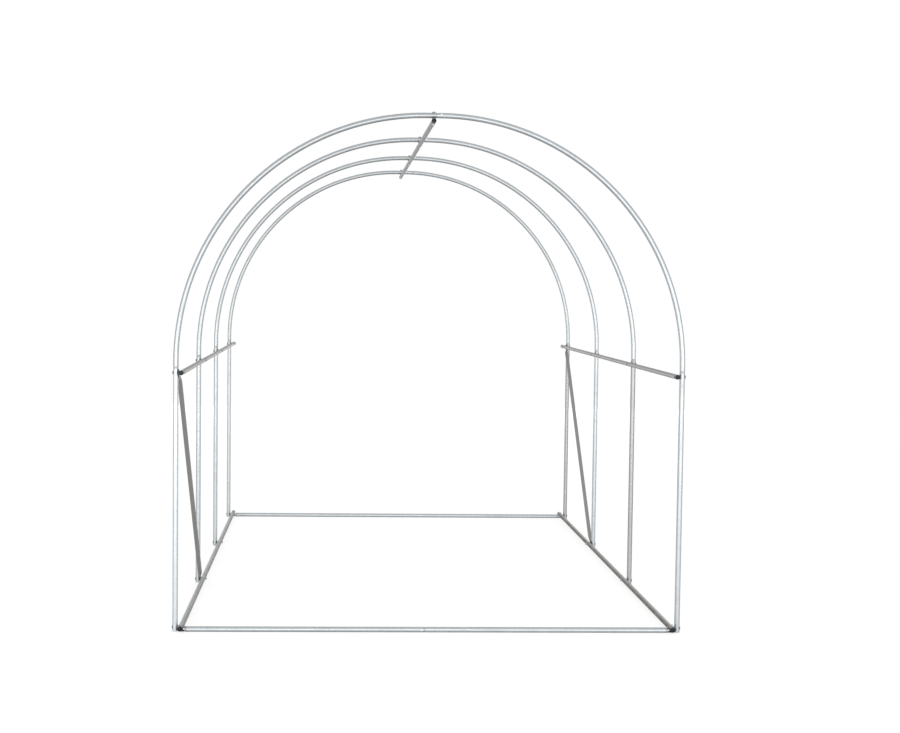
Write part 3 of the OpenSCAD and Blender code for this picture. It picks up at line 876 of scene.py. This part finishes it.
def makeBraces(t):
    for side, (first, second) in t["fromTo"].items():
        sign = sides[side]
        top = Vector((sign * t["x"], hoopY[first], purlin["z"]))
        foot = Vector((sign * t["x"], hoopY[second], baseRail["z"]))
        length = (foot - top).length
        down = (foot - top).normalized()
        thinAxis = Vector((sign, 0, 0))
        matrix = Matrix((thinAxis, down.cross(thinAxis), down)).transposed().to_4x4()
        matrix.translation = top
        lower = flatEndRings(t["diameter"], t["flat"], t["crimp"])
        start = t["flat"] + t["crimp"]
        upper = [[(x, y, length - z) for x, y, z in points] for points in reversed(lower)]
        rings = lower + roundRings(t["diameter"] / 2, 0.0, along(start, length - start, t["spans"])) + upper
        tip = pressedEnd["width"] / 2
        mesh = loftMesh(rings, matrix, braceFinish, t["shift"] + sign,
                        endHeights=[-tip, length + tip], pressedEnds=2)
        addPiece(f"{side}_brace_tube", mesh, [f"{side}_brace"])


makeBraces(brace)
print("cross rails and braces made")

# bolts with domed heads; edge, threadDepth and relief round the corners off
boltShape = {
    "shank": 0.003, "head": 0.007, "headHeight": 0.005, "lowHeadHeight": 0.003, "rim": 0.0011,
    "edge": 0.0004, "domeSteps": 7, "domeFit": 0.97, "past": 0.002, "threads": 6, "threadDepth": 0.0005,
    "threadShares": (0.15, 0.5, 0.85), "relief": 0.0006, "facets": 28}
driverCross = {"reach": 0.0036, "width": 0.0013, "depth": 0.0022, "over": 0.001, "deepReach": 0.55,
               "deepWidth": 0.7}
nutShape = {"width": 0.010, "height": 0.005, "bore": 0.00305, "face": 0.0046, "slope": 30, "facets": 36}


def crossRecess(shape, t, top):
    # sinks a driver cross into the head, which faces down
    cutters = []
    for turn in (0.0, math.pi / 2):
        mesh = bpy.data.meshes.new("cutter")
        work = bmesh.new()
        bmesh.ops.create_cube(work, size=1.0)
        for vert in work.verts:
            deep = vert.co.z > 0
            vert.co.x *= t["reach"] * 2 * (t["deepReach"] if deep else 1.0)
            vert.co.y *= t["width"] * (t["deepWidth"] if deep else 1.0)
            vert.co.z = top + t["depth"] if deep else top - t["over"]
        bmesh.ops.rotate(work, cent=(0, 0, 0), matrix=Matrix.Rotation(turn, 3, "Z"), verts=work.verts)
        work.to_mesh(mesh)
        work.free()
        cutter = newObject("cutter", mesh)
        modifier = shape.modifiers.new("recess", "BOOLEAN")
        modifier.object, modifier.operation, modifier.solver = cutter, "DIFFERENCE", "EXACT"
        cutters.append(cutter)
    mesh = evaluatedMesh(shape)
    shape.modifiers.clear()
    shape.data = mesh
    for cutter in cutters:
        bpy.data.objects.remove(cutter)


def makeBolt(t, grip, headHeight, recess=True):
    # the head is below z = 0 and the shank runs up, threaded over its last stretch
    threaded = nutShape["height"] + t["past"]
    head, shank, edge, end = t["head"], t["shank"], t["edge"], grip + threaded
    outline = [(0.0, -headHeight)]
    for a in quarterTurn(t["domeSteps"]):
        fit = t["domeFit"] if a < math.pi / 2 else 1.0
        outline.append((head * math.sin(a) * fit, -t["rim"] - (headHeight - t["rim"]) * math.cos(a)))
    outline += [(head, -edge), (head - edge, 0.0), (shank, 0.0), (shank, grip)]
    pitch, z = threaded / t["threads"], grip
    for _ in range(t["threads"]):
        for share, depth in zip(t["threadShares"], (0.0, t["threadDepth"], 0.0)):
            outline.append((shank - depth, z + pitch * share))
        z += pitch
    outline += [(shank - t["relief"], end), (0.0, end)]
    shape = newObject("boltShape", latheShape(outline, t["facets"]))
    if recess:
        crossRecess(shape, driverCross, -headHeight)
    return shape


def makeNut(t):
    # hexagon with both faces turned down to a chamfer
    def hexRadius(angle):
        return t["width"] / 2 / math.cos((angle + math.pi / 6) % (math.pi / 3) - math.pi / 6)

    mesh = bpy.data.meshes.new("nut")
    work = bmesh.new()
    slope = math.tan(math.radians(t["slope"]))
    rings = []
    for edge, end in (("bore", "low"), ("face", "low"), ("side", "low"), ("side", "high"), ("face", "high"),
                      ("bore", "high")):
        row = []
        for k in range(t["facets"]):
            a = k * math.tau / t["facets"]
            radius = hexRadius(a) if edge == "side" else t[edge]
            cut = (radius - t["face"]) * slope if edge == "side" else 0.0
            z = cut if end == "low" else t["height"] - cut
            row.append(work.verts.new((radius * math.cos(a), radius * math.sin(a), z)))
        rings.append(row)
    skinRows(work, rings + rings[:1])
    work.to_mesh(mesh)
    work.free()
    return newObject("nutShape", tidyMesh(mesh, "nut"))


# moulded end caps, with a small gate mark in the middle of the face and ribs round the plug
capShape = {
    "flange": 0.003, "plug": 0.012, "round": 0.0012, "roundSteps": 5, "crown": 0.0007, "crownSteps": 4,
    "mark": 0.0010, "markRim": 0.0014, "markDepth": 0.0003, "edge": 0.0003, "ribs": 3, "ribStart": 0.002,
    "ribPitch": 0.003, "ribDepth": 0.0005, "ribTop": 0.0014, "ribLength": 0.0018, "lead": 0.001, "facets": 40}


def makeCap(t, diameter):
    # a domed face below z = 0 with a rounded rim, and a ribbed plug above it
    r, plug = diameter / 2, diameter / 2 - tubeWall - spigotFit
    low, mark = -t["flange"], t["markRim"]
    outline = [(0.0, low + t["markDepth"]), (t["mark"], low + t["markDepth"]), (mark, low)]
    flat = r - t["round"]
    for k in range(1, t["crownSteps"] + 1):
        share = k / t["crownSteps"]
        outline.append((mark + (flat - mark) * share, low + t["crown"] * share ** 2))
    for a in quarterTurn(t["roundSteps"]):
        outline.append((flat + t["round"] * math.sin(a), low + t["crown"] + t["round"] * (1 - math.cos(a))))
    outline += [(r, -t["edge"]), (r - t["edge"], 0.0), (plug, 0.0)]
    for k in range(t["ribs"]):
        z = t["ribStart"] + t["ribPitch"] * k
        outline += [(plug - t["ribDepth"], z), (plug, z + t["ribTop"]), (plug, z + t["ribLength"])]
    outline += [(plug - t["lead"], t["plug"]), (0.0, t["plug"])]
    return newObject("capShape", latheShape(outline, t["facets"]))


spacerShape = {"bore": 0.00325, "radius": 0.008, "edge": 0.0003, "facets": 32}


def makeSpacer(t):
    r, thick, edge = t["radius"], pressedEnd["thick"], t["edge"]
    outline = [(t["bore"], 0.0), (t["bore"], thick), (r - edge, thick), (r, thick - edge), (r, edge),
               (r - edge, 0.0), (t["bore"], 0.0)]
    return newObject("spacerShape", latheShape(outline, t["facets"]))


def pointsMesh(spots):
    mesh = bpy.data.meshes.new("spots")
    mesh.from_pydata([spot for spot, _ in spots], [], [])
    axis = mesh.attributes.new("axis", "FLOAT_VECTOR", "POINT")
    for entry, (_, direction) in zip(axis.data, spots):
        entry.vector = direction
    return mesh


def setOnPoints(shape, spots, seed, finish):
    mesh = runTree(fastenerTree, {"Shape": shape, "Seed": seed, "Finish": finish}, pointsMesh(spots))
    bpy.data.objects.remove(shape)
    return mesh


def shifted(spots, distance):
    return [(tuple(Vector(spot) + Vector(direction) * distance), direction) for spot, direction in spots]


def onLeg(side, i, z):
    # a spot on the outside of a leg, facing in
    outside = hoopTube["legX"] + hoopTube["diameter"] / 2
    return ((sides[side] * outside, hoopY[i], z), (-sides[side], 0.0, 0.0))


hoopD, purlinD, baseD = hoopTube["diameter"], purlin["diameter"], baseRail["diameter"]
touch = 0.0002  # the small gap where two pieces meet
railRoom = pressedEnd["thick"] + 2 * touch  # between a hoop and its rail
grips = {"purlin": hoopD + railRoom + purlinD, "base": hoopD + railRoom + baseD,
         "corner": pressedEnd["thick"] + touch + baseD}
purlinSpots = [((0.0, y, hoopTube["crownHeight"] + hoopD / 2), (0.0, 0.0, -1.0)) for y in hoopY]
purlinSpots += [onLeg(side, i, purlin["z"]) for side in sides for i in range(len(hoopY))]
baseSpots = [onLeg(side, i, baseRail["z"]) for side in sides for i in range(len(hoopY))]
tabUnder = crossRail["tabZ"] - pressedEnd["thick"] / 2
cornerSpots = [((sign * baseRail["x"], y, tabUnder), (0.0, 0.0, 1.0))
               for sign in sides.values() for y in crossRail["y"].values()]
braceSpots = []
for side, (first, second) in brace["fromTo"].items():
    braceSpots += [onLeg(side, first, purlin["z"]), onLeg(side, second, baseRail["z"])]
spacerSpots = [spot for spot in purlinSpots + baseSpots if spot not in braceSpots]


def setBolts(kind, headHeight, spots, seed, recess=True):
    return setOnPoints(makeBolt(boltShape, grips[kind], headHeight, recess), spots, seed, boltFinish)


def setNuts(spots, seed):
    return setOnPoints(makeNut(nutShape), spots, seed, boltFinish)


lowHead = boltShape["lowHeadHeight"]
fasteners = {
    "purlin_bolts": setBolts("purlin", boltShape["headHeight"], purlinSpots, seed=3),
    "base_bolts": joinMeshes([setBolts("base", lowHead, baseSpots, seed=5),
                              setBolts("corner", lowHead, cornerSpots, seed=6, recess=False)]),
    "purlin_nuts": setNuts(shifted(purlinSpots, grips["purlin"]), seed=11),
    "base_nuts": setNuts(
        shifted(baseSpots, grips["base"]) + shifted(cornerSpots, grips["corner"]), seed=12),
    "spacers": setOnPoints(
        makeSpacer(spacerShape), shifted(spacerSpots, hoopD + touch), seed=14, finish=boltFinish)}
for node, mesh in fasteners.items():
    addPiece(f"{node}_zinc", mesh, [node])

forward, backward = (0.0, 1.0, 0.0), (0.0, -1.0, 0.0)


def setCaps(t, middles, seed):
    # one at each end of each rail, where middles are the rails' (x, z)
    spots = [((x, t["front"], z), forward) for x, z in middles]
    spots += [((x, t["back"], z), backward) for x, z in middles]
    return setOnPoints(makeCap(capShape, t["diameter"]), spots, seed, capFinish)


purlinMiddles = [(0.0, purlin["ridgeZ"])] + [(sign * purlin["x"], purlin["z"]) for sign in sides.values()]
baseMiddles = [(sign * baseRail["x"], baseRail["z"]) for sign in sides.values()]
endCaps = joinMeshes([
    setCaps(purlin, purlinMiddles, seed=21), setCaps(baseRail, baseMiddles, seed=22)])
addPiece("end_caps_black", endCaps, ["end_caps"])
print("fasteners and caps made")

# sprung buttons at the tube seams
snapButton = {
    "radius": 0.0035, "height": 0.0016, "domeSteps": 5, "well": 0.0006, "clear": 0.0003, "ring": 0.0045,
    "lip": 0.0004, "lipHeight": 0.0002, "base": 0.0012, "sunk": 0.0003, "facets": 20,
    "crownX": 0.030, "crownTilt": 25.0, "crossX": -0.025}


def makeButton(t):
    # stands out of its hole, with a small rolled lip round the hole
    r, h, ring = t["radius"], t["height"], t["ring"]
    outline = [(0.0, h)]
    for a in quarterTurn(t["domeSteps"]):
        outline.append((r * math.sin(a), h * math.cos(a)))
    outline += [(r, -t["well"]), (r + t["clear"], -t["well"]), (ring - t["lip"], t["lipHeight"]),
                (ring, -t["lipHeight"]), (ring, -t["base"]), (0.0, -t["base"])]
    return newObject("buttonShape", latheShape(outline, t["facets"]))


def buttonSpots(t):
    # on the front of each crown, tilted up a little, and on the outer side of both cross rails
    tilt, reach = math.radians(t["crownTilt"]), hoopD / 2 - t["sunk"]
    facing = (0.0, -math.cos(tilt), math.sin(tilt))
    crownZ = hoopTube["crownHeight"] + facing[2] * reach
    spots = [((t["crownX"], y + facing[1] * reach, crownZ), facing) for y in hoopY]
    for y in crossRail["y"].values():
        out = math.copysign(1.0, y)
        spots.append(((t["crossX"], y + out * reach, crossRail["z"]), (0.0, out, 0.0)))
    return spots


buttons = setOnPoints(makeButton(snapButton), buttonSpots(snapButton), seed=31, finish=buttonFinish)
addPiece("snap_buttons", buttons, [])
print("snap buttons made")

studio = {
    "camera": {"place": (-0.3705, -7.2400, 1.3549), "turn": (86.919, -0.624, -2.064), "lens": 59.39,
               "sensor": 36.0, "shift": 0.0667, "sight": 200.0},
    "floorSize": 400.0, "floorLift": -0.0004, "worldLight": 0.55, "floorColor": 0.5, "floorGlow": 0.725,
    "panels": [  # name, place, level turn, width, height, brightness
        ("frontPanel", (0.0, -9.5, 0.95), 0.0, 26.0, 1.7, 4.6),
        ("backPanel", (0.0, 9.5, 0.95), math.pi, 26.0, 1.7, 1.5)]}
white = (1.0, 1.0, 1.0, 1.0)


def whiteForView(tree):
    # 1 where the camera, a reflection or glass looks
    path = put(tree, "ShaderNodeLightPath").socket.node
    looks = [Wire(tree, path.outputs[f"Is {kind} Ray"]) for kind in ("Camera", "Glossy", "Transmission")]
    return looks[0].most(looks[1]).most(looks[2])


def makeWorld(s):
    world = bpy.data.worlds.new("studioWorld")
    bpy.context.scene.world = world
    world.use_nodes = True
    tree = world.node_tree
    tree.nodes.clear()
    strength = ramp(tree, whiteForView(tree), 0.0, 1.0, s["worldLight"], 1.0)
    sky = put(tree, "ShaderNodeBackground", {"Color": white, "Strength": strength})
    put(tree, "ShaderNodeOutputWorld", {"Surface": sky})
    world.cycles.sampling_method = "NONE"  # an even white world needs no light sampling


def makeFloor(s):
    half, lift = s["floorSize"] / 2, s["floorLift"]
    mesh = bpy.data.meshes.new("floor")
    corners = [(-half, -half, lift), (half, -half, lift), (half, half, lift), (-half, half, lift)]
    mesh.from_pydata(corners, [], [(0, 1, 2, 3)])
    material = bpy.data.materials.new("paleFloor")
    material.use_nodes = True
    tree = material.node_tree
    tree.nodes.clear()
    paper = put(tree, "ShaderNodeBsdfDiffuse", {"Color": (s["floorColor"],) * 3 + (1.0,)})
    glow = put(tree, "ShaderNodeEmission", {"Color": white, "Strength": whiteForView(tree) * s["floorGlow"]})
    both = put(tree, "ShaderNodeAddShader", {0: paper, 1: glow})
    put(tree, "ShaderNodeOutputMaterial", {"Surface": both})
    material.cycles.emission_sampling = "NONE"  # the glow is only there to be looked at
    mesh.materials.append(material)
    newObject("studioFloor", mesh)


def makePanels(s):
    for name, spot, turn, width, height, brightness in s["panels"]:
        light = bpy.data.lights.new(name, "AREA")
        light.shape, light.size, light.size_y = "RECTANGLE", width, height
        light.energy = brightness * math.pi * width * height
        lamp = newObject(name, light)
        lamp.location = spot
        lamp.rotation_euler = (math.pi / 2, 0.0, turn)
        lamp.visible_camera = False


def makeCamera(view):
    data = bpy.data.cameras.new("mainCamera")
    data.lens, data.sensor_width, data.shift_x = view["lens"], view["sensor"], view["shift"]
    data.clip_end = view["sight"]
    camera = newObject("mainCamera", data)
    camera.location = view["place"]
    camera.rotation_euler = [math.radians(a) for a in view["turn"]]
    bpy.context.scene.camera = camera


bpy.context.scene.view_settings.view_transform = "Standard"
makeWorld(studio)
makeFloor(studio)
makePanels(studio)
makeCamera(studio["camera"])
print("studio ready")
